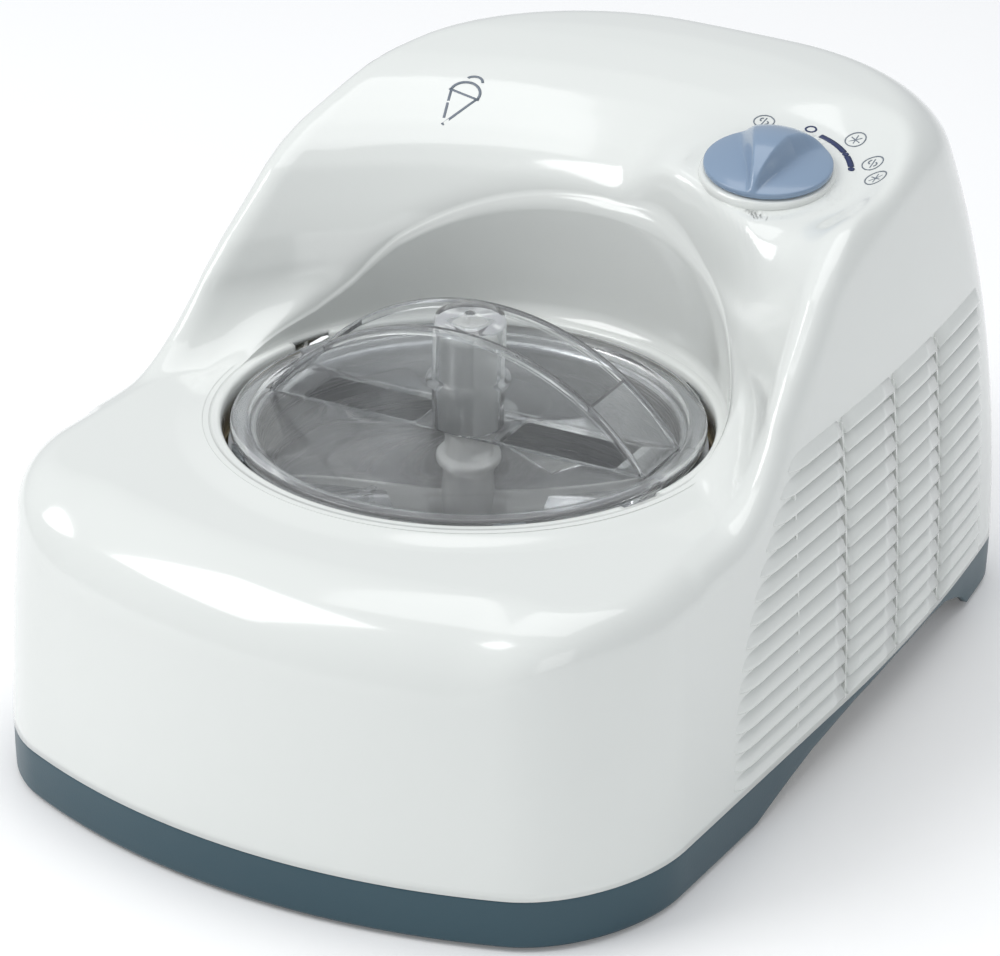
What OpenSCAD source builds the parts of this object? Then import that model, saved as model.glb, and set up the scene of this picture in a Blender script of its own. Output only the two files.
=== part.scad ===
// Countertop ice cream maker with its own refrigeration, about 285 x 409 x 228 mm.
// Origin: centre of the footprint on the rest plane. +Z up, front faces -Y.
// Every sub-part is drawn in its assembled place.

/* [Housing] */
// Width over the side walls
body_w = 285; // [280:1:292]
// Wall thickness of the moulded shell
shell_t = 3; // [2.5:0.5:3.5]
// Height of the deck round the bowl
deck_z = 127; // [125:1:129]

/* [Bowl and lid] */
// Distance from the footprint centre to the bowl axis, towards the front
bowl_off = 37; // [36:0.5:38]
// Outer radius of the lift-out bowl
bowl_r = 83; // [80:0.5:83.5]
// Outer radius of the clear lid
lid_r = 91.5; // [89:0.5:91.5]
// Wall thickness of the bowl
bowl_t = 1.5; // [1:0.25:2]

/* [Grilles] */
// Number of slats in each side grille
slat_n = 15; // [12:1:15]
// Spacing of the slats
slat_pitch = 7.9; // [7.3:0.1:7.9]
// Thickness of each slat
slat_t = 4.2; // [3.5:0.1:4.8]

/* [Drive] */
// Gear module
gear_m = 2; // [2:0.5:2]
// Width of the gears
gear_w = 7; // [5:1:8]

/* [Cooling] */
// Radius of the compressor shell
comp_r = 54; // [48:1:56]
// Turns of the evaporator tube
coil_n = 7; // [4:1:8]
// Fan blade count
fan_n = 5; // [3:1:7]

/* [Hidden] */
$fn = 64;
W = body_w / 2;
by = -bowl_off;
tray_z = 21;
e = 0.05;
run = 0.05;

// Half width of the plan outline at depth y, with the sides drawn in to the rear
function side_x(y, t) = W - t - (y > 11 ? (y - 11) * (y - 11) / 2247 : 0);
// Plan outline: bowed front, round corners, sides drawn in, round rear corners
front_y = -206.5;
bow_r = 279;
cor_r = 63;
rear_y = 205.5;
rcor_r = 31.6;
function plan_half(t) = let (
    w = W - t, yf = front_y + t, R = bow_r - t, rc = cor_r - t,
    yc = yf + R - sqrt(pow(R - rc, 2) - pow(w - rc, 2)),
    a = atan2(w - rc, yf + R - yc), rr = rcor_r - t, ye = rear_y - t - rr,
    xe = side_x(ye, t))
  concat(
    [for (i = [0:7]) let (v = a * i / 7) [R * sin(v), yf + R - R * cos(v)]],
    [for (i = [1:8]) let (v = a + (90 - a) * i / 8) [w - rc + rc * sin(v), yc - rc * cos(v)]],
    [for (i = [0:7]) let (y = 11 + (ye - 11) * i / 7) [side_x(y, t), y]],
    [for (i = [1:6]) let (v = 15 * i) [xe - rr + rr * cos(v), ye + rr * sin(v)]]);
function flip(p) = [for (i = [len(p) - 1:-1:0]) [-p[i][0], p[i][1]]];
module plan2(t) { h = plan_half(t); polygon(concat(h, flip(h))); }
module plan_slab(t, z0, z1) { translate([0, 0, z0]) linear_extrude(z1 - z0) plan2(t); }

// Front wall and deck shoulder, turned about the centre of the bowed front
module front_form(t, z0) {
  translate([0, -204.5 + bow_r, 0]) rotate_extrude($fn = 96) polygon([
    [0, z0], [bow_r - t, z0], [bow_r - 1.5 - t, 60], [bow_r - 4.8 - t, 95], [bow_r - 8 - t, 109],
    [bow_r - 15 - t * 0.8, deck_z - 8], [bow_r - 26 - t * 0.5, deck_z - 2.5 - t * 0.8],
    [bow_r - 45, deck_z - t], [bow_r - 50, 245], [0, 245]]);
}
// Side view of the shell from the deck back: top, rear edge and rear wall
module side_prism(t, z0) {
  rotate([90, 0, 90]) translate([0, 0, -W - 5]) linear_extrude(body_w + 10) polygon([
    [-218, z0], [-218, deck_z - t], [-97 + t, deck_z - t], [-97 + t, 222.5 - t],
    [135, 222.5 - t], [162 - t, 218.5 - t], [178 - t, 211 - t / 2], [187 - t, 198], [191 - t, 180],
    [196 - t, 145], [199.7 - t, 100], [204.5 - t, z0]]);
}
// Rounding of the upper rear corners, turned about the footprint centre
module rear_form(t, z0) {
  rotate_extrude($fn = 96) polygon([[0, z0], [262 - t, z0], [258 - t, deck_z + 4],
    [224 - t, 150], [219 - t, 178], [211 - t, 197], [199 - t, 210 - t / 2],
    [184 - t, 219 - t], [165 - t, 226 - t], [0, 226 - t]]);
}
// Front view of the shell: near-upright walls that lean in, and a crowned top
module section_prism(t, z0) {
  h = [[W + 1 - t, z0], [W - 1.4 - t, 60], [W - 4.4 - t, 100], [W - 7 - t, 127],
       [W - 9 - t, 150], [W - 11 - t, 170], [W - 14 - t, 190], [W - 18.5 - t, 206],
       [W - 23.5 - t, 214.5 - t / 2], [W - 35 - t, 218.6 - t], [60, 221 - t], [0, 222.3 - t]];
  rotate([90, 0, 0]) translate([0, 0, -215]) linear_extrude(430)
    polygon(concat(h, [for (i = [len(h) - 2:-1:0]) [-h[i][0], h[i][1]]]));
}
// The concave front of the hood, turned about an upright axis ahead of the bowl
module hood_front(t) {
  translate([0, -90, 0]) rotate_extrude($fn = 96) polygon([
    [0, deck_z - t], [134 + t, deck_z - t], [134.5 + t, 145], [137 + t, 156],
    [141.5 + t, 167], [147 + t, 178], [151.5 + t, 186], [157 + t, 194 - t / 2],
    [164 + t, 201 - t / 2], [176 + t, 207 - t], [196 + t, 212.5 - t], [222 + t, 218 - t],
    [262 + t, 223 - t], [262 + t, 255], [0, 255]]);
}
module body_form(t, z0) {
  difference() {
    intersection() {
      plan_slab(t, z0, 240);
      front_form(t, z0 - 1);
      rear_form(t, z0 - 2);
      side_prism(t, z0);
      section_prism(t, z0);
    }
    hood_front(t);
    translate([0, by, deck_z - t]) cylinder(r = 100 + t, h = 120);
  }
}
// Outline of a side grille, y along X and z along Y
grille_z0 = 24;
grille_z1 = grille_z0 + slat_pitch * 14 + slat_t;
grille_y1 = 155.6;
grille_pts = [[-81.2, grille_z0], [-81.4, 43], [-80, 55], [-76.7, 68], [-70.9, 83],
  [-63, 99], [-57.7, 107], [-51.5, 115], [-45.9, 122], [-37.9, 130], [-28.5, 137],
  [-26, grille_z1], [grille_y1, grille_z1], [grille_y1, grille_z0]];
module grille_prism(s, x0, x1) {
  translate([s > 0 ? x0 : -x1, 0, 0]) rotate([90, 0, 90])
    linear_extrude(x1 - x0) polygon(grille_pts);
}
// Skin of the side walls between two depths
module wall_skin(t0, t1) {
  difference() {
    intersection() { plan_slab(t0, 15, 150); section_prism(t0, 14); }
    intersection() { plan_slab(t1, 14, 151); section_prism(t1, 13); }
  }
}

// Tilted frame of the selector, origin on top of its seat
knob_x = 68; knob_y = 75; knob_z = 208.5;
module at_knob() {
  translate([knob_x, knob_y, knob_z]) rotate(a = 9, v = [0.9023, 0.4311, 0]) children();
}
notch_a = [162, -18];

module housing_shell() {
  color([0.90, 0.91, 0.89]) difference() {
    body_form(0, tray_z);
    body_form(shell_t, tray_z - 1);
    translate([0, by, 90]) cylinder(r = 95, h = 60);
    // finger notches beside the bowl rim
    for (a = notch_a) translate([0, by, 0]) rotate([0, 0, a]) translate([80, -9.5, deck_z - 12]) cube([18.4, 19, 18]);
    for (s = [-1, 1]) intersection() { grille_prism(s, 110, 160); wall_skin(-2, 4.5); }
    // round seat for the selector knob
    at_knob() translate([0, 0, -13.05]) cylinder(r = 27.05, h = 60, $fn = 72);
    // rear inlet for the mains lead
    translate([-70, 190, 45]) rotate([-90, 0, 0]) cylinder(r = 9, h = 20);
  }
}

// One side grille: slats on uprights, following the wall
module grille(s) {
  color([0.90, 0.91, 0.89]) intersection() {
    union() {
      for (i = [0:slat_n - 1])
        translate([s > 0 ? 110 : -160, -100, grille_z0 + i * slat_pitch])
          cube([50, 262, slat_t]);
      for (y = [-34, 11, 58.1, 102.6, 154]) translate([s > 0 ? 110 : -160, y - 1.6, 20])
        cube([50, 3.2, 120]);
    }
    grille_prism(s, 110, 160);
    wall_skin(0.8, 4.4);
  }
}
module grille_right() { grille(1); }
module grille_left() { grille(-1); }

// Raised ring round the bowl opening, in the housing plastic
module bowl_collar() {
  color([0.90, 0.91, 0.89]) translate([0, by, 0]) difference() {
    rotate_extrude($fn = 96) polygon([[93.9, deck_z - 9], [93.9, deck_z + 1.6],
      [95.2, deck_z + 2.8], [97.6, deck_z + 2.8], [99.2, deck_z + e],
      [94.8, deck_z + e], [94.8, deck_z - 9]]);
    for (a = notch_a) rotate([0, 0, a]) translate([80, -9.5, deck_z - 12]) cube([18.4, 19, 20]);
  }
}

// Base tray with raised arches between the feet
module base_tray() {
  color([0.14, 0.27, 0.33]) difference() {
    intersection() { plan_slab(0.8, 2, tray_z); front_form(0.8, 1); }
    intersection() { plan_slab(3.8, 5, tray_z + 1); front_form(3.8, 0); }
    // arch under each long side
    for (s = [-1, 1]) translate([s > 0 ? 128 : -160, 0, 0]) rotate([90, 0, 90])
      linear_extrude(32) polygon([[-60, -1], [-55, 1], [-47.8, 4], [-30, 9], [-13, 12.4],
        [23, 17], [60, 18.4], [100, 18.4], [119, 16.8], [143, 8], [151, -1]]);
    for (x = [-40:20:80]) translate([x - 4, 60, 0]) cube([8, 70, 6]);
    for (p = screw_pts) translate([p[0], p[1], 0]) {
      cylinder(r = 2.4, h = 12, $fn = 24);
      cylinder(r = 4.5, h = 5.05, $fn = 24);
    }
    for (p = foot_pts) translate([p[0], p[1], 0]) cylinder(r = 4.02, h = 6.05);
  }
}
foot_pts = [[118, -114], [-118, -114], [108, 163], [-108, 163]];
module rubber_feet() {
  color([0.05, 0.05, 0.05]) for (p = foot_pts) translate([p[0], p[1], 0]) {
    cylinder(r1 = 10, r2 = 11, h = 2);
    translate([0, 0, 2]) cylinder(r = 4, h = 4);
  }
}
screw_pts = [[131, -96], [-131, -96], [112, 184], [-112, 184], [0, -187]];
module base_screws() {
  color([0.7, 0.7, 0.7]) for (p = screw_pts) translate([p[0], p[1], 3.2]) difference() {
    union() { cylinder(r = 4.4, h = 1.8, $fn = 24); cylinder(r = 2.2, h = 14, $fn = 24); }
    for (a = [0, 90]) rotate([0, 0, a]) translate([-3, -0.5, -1]) cube([6, 1, 2]);
  }
}
// Bosses under the shell that take the base screws
module screw_bosses() {
  color([0.90, 0.91, 0.89]) for (p = screw_pts) translate([p[0], p[1], 6]) difference() {
    cylinder(r = 5, h = 24, $fn = 32);
    translate([0, 0, -1]) cylinder(r = 2.2, h = 16, $fn = 24);
  }
}

// Cooling well, evaporator and insulation
module cooling_well() {
  color([0.78, 0.79, 0.80]) translate([0, by, 0]) difference() {
    union() {
      translate([0, 0, 31]) cylinder(r = 88, h = 88.3);
      translate([0, 0, 116.8]) cylinder(r = 92.5, h = 2.5);
    }
    translate([0, 0, 33]) cylinder(r = 86, h = 90);
    translate([0, 0, 20]) cylinder(r = 9, h = 30);
  }
}
module evaporator_coil() {
  color([0.72, 0.45, 0.25]) translate([0, by, 0]) {
    for (i = [0:coil_n - 1]) translate([0, 0, 40 + i * 62 / (coil_n - 1)])
      rotate_extrude($fn = 72) translate([91.3, 0]) circle(r = 2.6, $fn = 20);
    rotate([0, 0, 70]) translate([91.3, 0, 40]) cylinder(r = 2.2, h = 62, $fn = 20);
  }
}
module insulation_jacket() {
  color([0.93, 0.90, 0.78]) translate([0, by, 0]) difference() {
    translate([0, 0, 27]) cylinder(r = 100, h = 86);
    translate([0, 0, 30.5]) cylinder(r = 95, h = 90);
    translate([0, 0, 20]) cylinder(r = 13, h = 20);
    rotate([0, 0, 70]) translate([97, 0, 52]) rotate([0, 90, 0]) cylinder(r = 3.2, h = 20, center = true, $fn = 24);
    rotate([0, 0, 110]) translate([97, 0, 90]) rotate([0, 90, 0]) cylinder(r = 4.2, h = 20, center = true, $fn = 24);
  }
}

// Drive: gears in a flat box under the well
mot_r = 134; mot_a = -50.7;
mot_x = mot_r * cos(mot_a); mot_y = by + mot_r * sin(mot_a);
idl_x = 90 * cos(mot_a); idl_y = by + 90 * sin(mot_a);
gz = 9.5;
module gear2(n, hole) {
  r = gear_m * n / 2 - 0.15; d = 1.6;
  difference() {
    polygon([for (i = [0:n - 1], k = [0:3]) let (a = 360 * (i + [0, 0.22, 0.5, 0.72][k]) / n,
      q = k < 2 ? r : r - d) [q * cos(a), q * sin(a)]]);
    circle(r = hole, $fn = 48);
  }
}
module output_gear() {
  color([0.80, 0.66, 0.35]) translate([0, by, gz]) {
    linear_extrude(gear_w) gear2(54, 3.9);
    translate([0, 0, gear_w - e]) difference() { cylinder(r = 9, h = 3); translate([0, 0, -1]) cylinder(r = 3.9, h = 9); }
  }
}
module drive_shaft() {
  color([0.75, 0.76, 0.78]) translate([0, by, 0]) {
    translate([0, 0, 8]) cylinder(r = 4, h = 62);
    translate([0, 0, 70]) cylinder(r = 3.4, h = 8, $fn = 6);
  }
}
module shaft_bushing() {
  color([0.78, 0.60, 0.30]) translate([0, by, 0]) difference() {
    union() { translate([0, 0, 20.2]) cylinder(r = 8, h = 16); translate([0, 0, 26.2]) cylinder(r = 8.8, h = 1.5); }
    translate([0, 0, 15]) cylinder(r = 4 + run, h = 30);
  }
}
module shaft_seal() {
  color([0.12, 0.12, 0.12]) translate([0, by, 0]) difference() {
    translate([0, 0, 33.05]) cylinder(r = 12, h = 1.2);
    translate([0, 0, 30]) cylinder(r = 8.05, h = 9);
  }
}
module idler_gear() {
  color([0.85, 0.84, 0.78]) translate([idl_x, idl_y, gz]) linear_extrude(gear_w) gear2(36, 3 + run);
}
module idler_pin() {
  color([0.7, 0.7, 0.72]) translate([idl_x, idl_y, 7.2]) cylinder(r = 3, h = 14);
}
module motor_pinion() {
  color([0.85, 0.84, 0.78]) translate([mot_x, mot_y, gz]) linear_extrude(gear_w) gear2(8, 2.45);
}
module motor_shaft() {
  color([0.7, 0.7, 0.72]) translate([mot_x, mot_y, 8.6]) cylinder(r = 2.5, h = 34);
}
module mixing_motor() {
  color([0.45, 0.46, 0.48]) translate([mot_x, mot_y, 0]) difference() {
    union() {
      translate([0, 0, 24]) cylinder(r = 23, h = 58);
      translate([0, 0, 82 - e]) cylinder(r = 9, h = 6);
    }
    translate([0, 0, 20]) cylinder(r = 2.5 + run, h = 23);
  }
}
module box2(d) {
  translate([0, by]) circle(r = 59 - d, $fn = 72);
  translate([idl_x, idl_y]) circle(r = 42 - d, $fn = 64);
  translate([mot_x, mot_y]) circle(r = 26 - d, $fn = 48);
}
module gearbox_housing() {
  color([0.80, 0.80, 0.78]) difference() {
    translate([0, 0, 7.2]) linear_extrude(16.6) box2(0);
    translate([0, 0, 6]) linear_extrude(14.5) box2(2.2);
    translate([0, by, 10]) cylinder(r = 8, h = 30);
    translate([mot_x, mot_y, 10]) cylinder(r = 6, h = 30);
    translate([idl_x, idl_y, 10]) cylinder(r = 3, h = 30);
  }
}
module gearbox_cover() {
  color([0.70, 0.70, 0.68]) difference() {
    translate([0, 0, 5.05]) linear_extrude(2.1) box2(0);
    translate([0, by, 0]) cylinder(r = 4.4, h = 30);
  }
}

// Lift-out bowl with a centre tube round the shaft
module removable_bowl() {
  color([0.80, 0.81, 0.82]) translate([0, by, 0]) difference() {
    union() {
      translate([0, 0, 36.5]) cylinder(r = bowl_r, h = 88.1);
      translate([0, 0, 122.6]) cylinder(r = bowl_r + 8, h = 2);
    }
    difference() {
      translate([0, 0, 36.5 + bowl_t]) cylinder(r = bowl_r - bowl_t, h = 98);
      translate([0, 0, 30]) cylinder(r = 7.5, h = 36);
    }
    translate([0, 0, 30]) cylinder(r = 4.4, h = 50);
  }
}
// Folding tabs on the bowl rim, where fingers lift it
module bowl_tabs() {
  color([0.62, 0.63, 0.64]) translate([0, by, 0]) for (a = notch_a) rotate([0, 0, a])
    translate([bowl_r + 8 - e, -8, 122.6]) cube([6, 16, 2]);
}

// Paddle: column over the shaft with two swept blades
module paddle_column() {
  color([0.93, 0.93, 0.91]) translate([0, by, 0]) difference() {
    union() { translate([0, 0, 39.2]) cylinder(r = 10.5, h = 125); translate([0, 0, 104]) cylinder(r = 14, h = 3); }
    translate([0, 0, 39]) cylinder(r = 8, h = 29);
    translate([0, 0, 60]) cylinder(r = 4.4, h = 20);
  }
}
module paddle_blades() {
  color([0.93, 0.93, 0.91]) translate([0, by, 0]) rotate([0, 0, 24]) for (s = [0, 180]) rotate([0, 0, s]) {
    translate([10.8, -1.6, 40]) cube([66, 3.2, 9]);
    translate([10.8, -1.6, 49 - e]) cube([22, 3.2, 46]);
    translate([68, -1.6, 49 - e]) cube([8.8, 3.2, 46]);
    translate([10.8, -1.6, 88]) cube([62, 3.2, 7]);
  }
}

// Clear lid: dished disc, arched grip, centre socket
lz = 124.9;
module lid_panel() {
  color([0.86, 0.88, 0.88, 0.5]) translate([0, by, lz]) difference() {
    union() {
      difference() { cylinder(r = lid_r, h = 4.5, $fn = 96); translate([0, 0, 2]) cylinder(r = lid_r - 7, h = 9, $fn = 96); }
      for (y = [-12.5, 17.5]) translate([0, y, 0]) intersection() {
        translate([0, 1.2, -55.4]) rotate([90, 0, 0]) cylinder(r = 100, h = 2.4, $fn = 120);
        translate([-90, -5, 1]) cube([180, 10, 60]);
      }
      translate([0, 0, 1]) cylinder(r = 14, h = 46.5);
      translate([0, 0, 19]) cylinder(r = 16.5, h = 3);
    }
    for (a = [0, 180]) rotate([0, 0, a]) translate([18, a > 0 ? -15.5 : -10.5, -5]) cube([50, 26, 12]);
    translate([0, 0, -3]) cylinder(r = 11.6, h = 45);
    translate([0, 0, 41]) cylinder(r = 6, h = 10);
  }
}
module lid_lugs() {
  color([0.70, 0.72, 0.73]) translate([0, by, lz]) for (a = [50, 130, 230, 310]) rotate([0, 0, a])
    translate([lid_r - e, -6, 0]) cube([1.6, 12, 3]);
}

// Refrigeration: compressor, condenser, fan and lines
comp_x = -58; comp_y = 124;
module compressor() {
  color([0.06, 0.06, 0.07]) translate([comp_x, comp_y, 0]) {
    translate([0, 0, 28]) cylinder(r = comp_r, h = 76);
    translate([0, 0, 104 - e]) cylinder(r1 = comp_r, r2 = comp_r - 16, h = 18);
    translate([0, 0, 122 - 2 * e]) cylinder(r1 = comp_r - 16, r2 = 14, h = 6);
    translate([0, 0, 62]) cylinder(r = comp_r + 3, h = 3);
  }
}
comp_feet = [[-42, -30], [42, -30], [-42, 30], [42, 30]];
module compressor_plate() {
  color([0.30, 0.30, 0.32]) difference() {
    translate([comp_x - 48, comp_y - 38, 24]) cube([96, 76, 2.5]);
    for (p = comp_feet) translate([comp_x + p[0], comp_y + p[1], 20]) cylinder(r = 4, h = 12, $fn = 24);
  }
}
module compressor_stem() {
  color([0.30, 0.30, 0.32]) translate([comp_x, comp_y, 26.51]) cylinder(r = 30, h = 1.48);
}
module compressor_grommets() {
  color([0.08, 0.08, 0.08]) for (p = comp_feet) translate([comp_x + p[0], comp_y + p[1], 0]) {
    translate([0, 0, 5]) cylinder(r = 8, h = 19);
    translate([0, 0, 24 - e]) cylinder(r = 3.95, h = 3.9, $fn = 24);
  }
}
module compressor_relay() {
  color([0.15, 0.15, 0.16]) translate([comp_x - 16, comp_y + comp_r + 3.3, 60]) cube([32, 9, 36]);
}
cx0 = 93; cy0 = 64; cy1 = 164;
module condenser_fins() {
  color([0.75, 0.76, 0.77]) difference() {
    for (i = [0:16]) translate([cx0, cy0 + 2 + i * 6, 30]) cube([22, 1, 96]);
    for (k = [0:4]) translate([cx0 + 11, cy0 - 5, 42 + k * 18]) rotate([-90, 0, 0]) cylinder(r = 3.1, h = 120, $fn = 24);
  }
}
module condenser_tube() {
  color([0.72, 0.45, 0.25]) {
    for (k = [0:4]) translate([cx0 + 11, cy0 - 2, 42 + k * 18]) rotate([-90, 0, 0]) cylinder(r = 3, h = 104, $fn = 24);
    for (k = [0:3]) translate([cx0 + 11, k % 2 == 0 ? cy1 + 2 : cy0 - 2, 42 + k * 18]) cylinder(r = 2.6, h = 18, $fn = 24);
  }
}
module condenser_frame() {
  color([0.55, 0.56, 0.57]) {
    translate([cx0 - 2, cy0 - 2, 24]) cube([26, 104, 3]);
    translate([cx0 - 2, cy0 - 2, 129]) cube([26, 104, 3]);
    for (y = [cy0 - 1, cy1 - 1]) translate([cx0 - 2.5, y, 26]) cube([2, 2, 104]);
  }
}
fx = 62; fy = 116; fz = 78;
module fan_motor() {
  color([0.25, 0.25, 0.27]) translate([fx - 42, fy, fz]) rotate([0, 90, 0]) difference() {
    union() { cylinder(r = 20, h = 26); translate([0, 0, 26 - e]) cylinder(r = 7, h = 4); }
    translate([0, 0, 14]) cylinder(r = 2 + run, h = 30);
  }
}
module fan_shaft() {
  color([0.7, 0.7, 0.72]) translate([fx - 27, fy, fz]) rotate([0, 90, 0]) cylinder(r = 2, h = 31);
}
module fan_blade() {
  color([0.20, 0.22, 0.24]) translate([fx - 7, fy, fz]) rotate([0, 90, 0]) {
    difference() { cylinder(r = 13, h = 14); translate([0, 0, -1]) cylinder(r = 1.95, h = 12); }
    for (i = [0:fan_n - 1]) rotate([0, 0, 360 * i / fan_n]) translate([12, 0, 7]) rotate([32, 0, 0])
      translate([0, -11, -1]) cube([30, 22, 2]);
  }
}
module fan_bracket() {
  color([0.55, 0.56, 0.57]) {
    difference() {
      translate([fx + 18, fy - 49, 24]) cube([2, 98, 106]);
      translate([fx + 10, fy, fz]) rotate([0, 90, 0]) cylinder(r = 46, h = 20);
    }
    translate([fx - 36, fy - 8, 5.05]) cube([16, 16, 52.8]);
  }
}
module filter_drier() {
  color([0.72, 0.45, 0.25]) translate([20, 176, 40]) { cylinder(r = 8, h = 60); translate([0, 0, 60 - e]) cylinder(r1 = 8, r2 = 3, h = 8); translate([0, 0, -8 + e]) cylinder(r1 = 3, r2 = 8, h = 8); }
}
module tube_run(r, p) {
  for (i = [0:len(p) - 2]) let (d = p[i + 1] - p[i], L = norm(d))
    translate(p[i]) rotate([0, acos(d[2] / L), atan2(d[1], d[0])]) cylinder(r = r, h = L, $fn = 20);
  for (i = [1:len(p) - 2]) translate(p[i]) sphere(r = r * 1.06, $fn = 20);
}
module discharge_line() {
  color([0.72, 0.45, 0.25]) tube_run(2, [[-30, 124, 123], [-30, 124, 142], [104, 130, 142], [104, 169, 142], [104, 169, 117]]);
}
module liquid_line() {
  color([0.72, 0.45, 0.25]) tube_run(2, [[104, 168, 41], [104, 174, 30], [20, 176, 26], [20, 176, 33]]);
}
module capillary_tube() {
  color([0.72, 0.45, 0.25]) tube_run(1.2, [[20, 176, 107], [20, 176, 150], [30, 110, 150], [33.4, 60, 52]]);
}
module suction_line() {
  color([0.72, 0.45, 0.25]) tube_run(3, [[-32.8, 53.2, 90], [-37.1, 65.1, 90], [-37.1, 65.1, 146], [-66, 116, 146], [-66, 116, 125]]);
}
module cable_gland() {
  color([0.06, 0.06, 0.06]) translate([-70, 186, 45]) rotate([-90, 0, 0]) difference() {
    union() { cylinder(r = 8.9, h = 15.4); translate([0, 0, 7]) cylinder(r = 12, h = 4); }
    translate([0, 0, -1]) cylinder(r = 4, h = 30);
  }
}
module terminal_block() {
  color([0.92, 0.92, 0.90]) difference() {
    translate([-118, 48, 5.05]) cube([18, 30, 14]);
    for (i = [0:2]) translate([-109, 54 + i * 9, 12]) cylinder(r = 2.5, h = 20, $fn = 24);
  }
}

// Selector: switch, spindle, knob and its raised seat
module knob_seat() {
  color([0.90, 0.91, 0.89]) at_knob() difference() {
    translate([0, 0, -13]) cylinder(r = 27, h = 13, $fn = 72);
    translate([0, 0, -14]) cylinder(r = 5, h = 40);
  }
}
module selector_switch() {
  color([0.15, 0.15, 0.16]) at_knob() difference() {
    translate([-15, -13, -44]) cube([30, 26, 20]);
    translate([0, 0, -39]) cylinder(r = 3 + run, h = 30, $fn = 48);
  }
}
module switch_bracket() {
  color([0.6, 0.6, 0.62]) at_knob() difference() {
    translate([-15, -13, -23.95]) cube([30, 26, 10.9]);
    translate([-12, -14, -22.4]) cube([24, 28, 8]);
    translate([0, 0, -25]) cylinder(r = 6, h = 30);
  }
}
module knob_spindle() {
  color([0.75, 0.75, 0.77]) at_knob() translate([0, 0, -37]) cylinder(r = 3, h = 42);
}
module control_knob() {
  color([0.55, 0.62, 0.72]) at_knob() translate([0, 0, 0.4]) difference() {
    union() {
      cylinder(r = 25.4, h = 2.4, $fn = 72);
      translate([0, 0, 2.4 - e]) cylinder(r1 = 25, r2 = 17, h = 4.6, $fn = 72);
      rotate([0, 0, 90]) translate([-24.4, -3.4, 1]) cube([48.8, 6.8, 17]);
    }
    translate([0, 0, -1]) cylinder(r = 2.95, h = 6, $fn = 48);
    rotate([0, 0, 90]) for (s = [-1, 1]) translate([s * 6, -6, 18]) rotate([0, s * 33, 0])
      translate([s > 0 ? 0 : -40, 0, 0]) cube([40, 12, 14]);
  }
}

housing_shell();
grille_right();
grille_left();
bowl_collar();
base_tray();
rubber_feet();
base_screws();
screw_bosses();
cooling_well();
evaporator_coil();
insulation_jacket();
output_gear();
drive_shaft();
shaft_bushing();
shaft_seal();
idler_gear();
idler_pin();
motor_pinion();
motor_shaft();
mixing_motor();
gearbox_housing();
gearbox_cover();
removable_bowl();
bowl_tabs();
paddle_column();
paddle_blades();
lid_panel();
lid_lugs();
compressor();
compressor_plate();
compressor_stem();
compressor_grommets();
compressor_relay();
condenser_fins();
condenser_tube();
condenser_frame();
fan_motor();
fan_shaft();
fan_blade();
fan_bracket();
filter_drier();
discharge_line();
liquid_line();
capillary_tube();
suction_line();
cable_gland();
terminal_block();
knob_seat();
selector_switch();
switch_bracket();
knob_spindle();
control_knob();
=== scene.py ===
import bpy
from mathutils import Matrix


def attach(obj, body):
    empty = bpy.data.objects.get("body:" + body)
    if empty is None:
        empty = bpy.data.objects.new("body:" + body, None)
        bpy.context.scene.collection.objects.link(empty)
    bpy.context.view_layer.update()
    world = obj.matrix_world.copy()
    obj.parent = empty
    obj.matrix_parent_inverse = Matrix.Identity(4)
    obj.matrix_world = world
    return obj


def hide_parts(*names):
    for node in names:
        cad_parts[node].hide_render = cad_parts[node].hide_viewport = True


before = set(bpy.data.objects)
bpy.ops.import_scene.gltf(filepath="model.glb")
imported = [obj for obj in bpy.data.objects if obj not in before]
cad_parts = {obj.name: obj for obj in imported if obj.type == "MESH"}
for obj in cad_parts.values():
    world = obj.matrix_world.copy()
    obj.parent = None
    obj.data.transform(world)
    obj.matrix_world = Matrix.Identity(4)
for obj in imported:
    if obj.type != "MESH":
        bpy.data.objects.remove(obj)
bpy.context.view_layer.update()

# --- Moulded housing -------------------------------------------------------
# One glossy white injection moulding: bowed front, flat deck round the bowl and a hood whose
# concave face wraps the bowl behind a round scoop. It is screwed down onto the base tray.
import math
import bmesh
import bpy
import numpy as np
from mathutils import Matrix, Vector

MM = 0.001
half_width = 142.4
depth_half = 204.5
bow_radius = 279.0
front_corner = 39.0
deck_height = 127.0
bowl_y = -37.0
scoop_radius = 100.0
band_top = 21.5


def blend_max(a, b, r):
    """Rounded intersection of two distance fields with fillet radius r."""
    return np.minimum(np.maximum(a, b), -r) + np.hypot(np.maximum(a + r, 0), np.maximum(b + r, 0))


def blend_min(a, b, r):
    """Rounded union of two distance fields with fillet radius r."""
    return np.maximum(np.minimum(a, b), r) - np.hypot(np.maximum(r - a, 0), np.maximum(r - b, 0))


def smooth(a, b, v):
    t = np.clip((v - a) / (b - a), 0, 1)
    return t * t * (3 - 2 * t)


def side_draw(y):
    """How far the side walls draw in towards the rear."""
    return np.maximum(y - 11, 0) ** 2 / 2247


def side_draft(z):
    """How far the walls lean in with height."""
    return 9.0 * (np.maximum(z, 0) / 150) ** 2


def wall_field(x, y, z):
    """Distance outside the upright walls, negative inside."""
    lean = side_draft(z)
    sides = np.abs(x) - (half_width - side_draw(y) - lean)
    front = np.hypot(x, y - (bow_radius - depth_half)) - (bow_radius - lean * 0.8)
    rear = y - (depth_half - 0.45 * lean)
    rear_corner = 31.6 + 31 * (np.maximum(z, 0) / 177) ** 2.6
    field = blend_max(sides, front, front_corner)
    return blend_max(field, rear, rear_corner)


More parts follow.
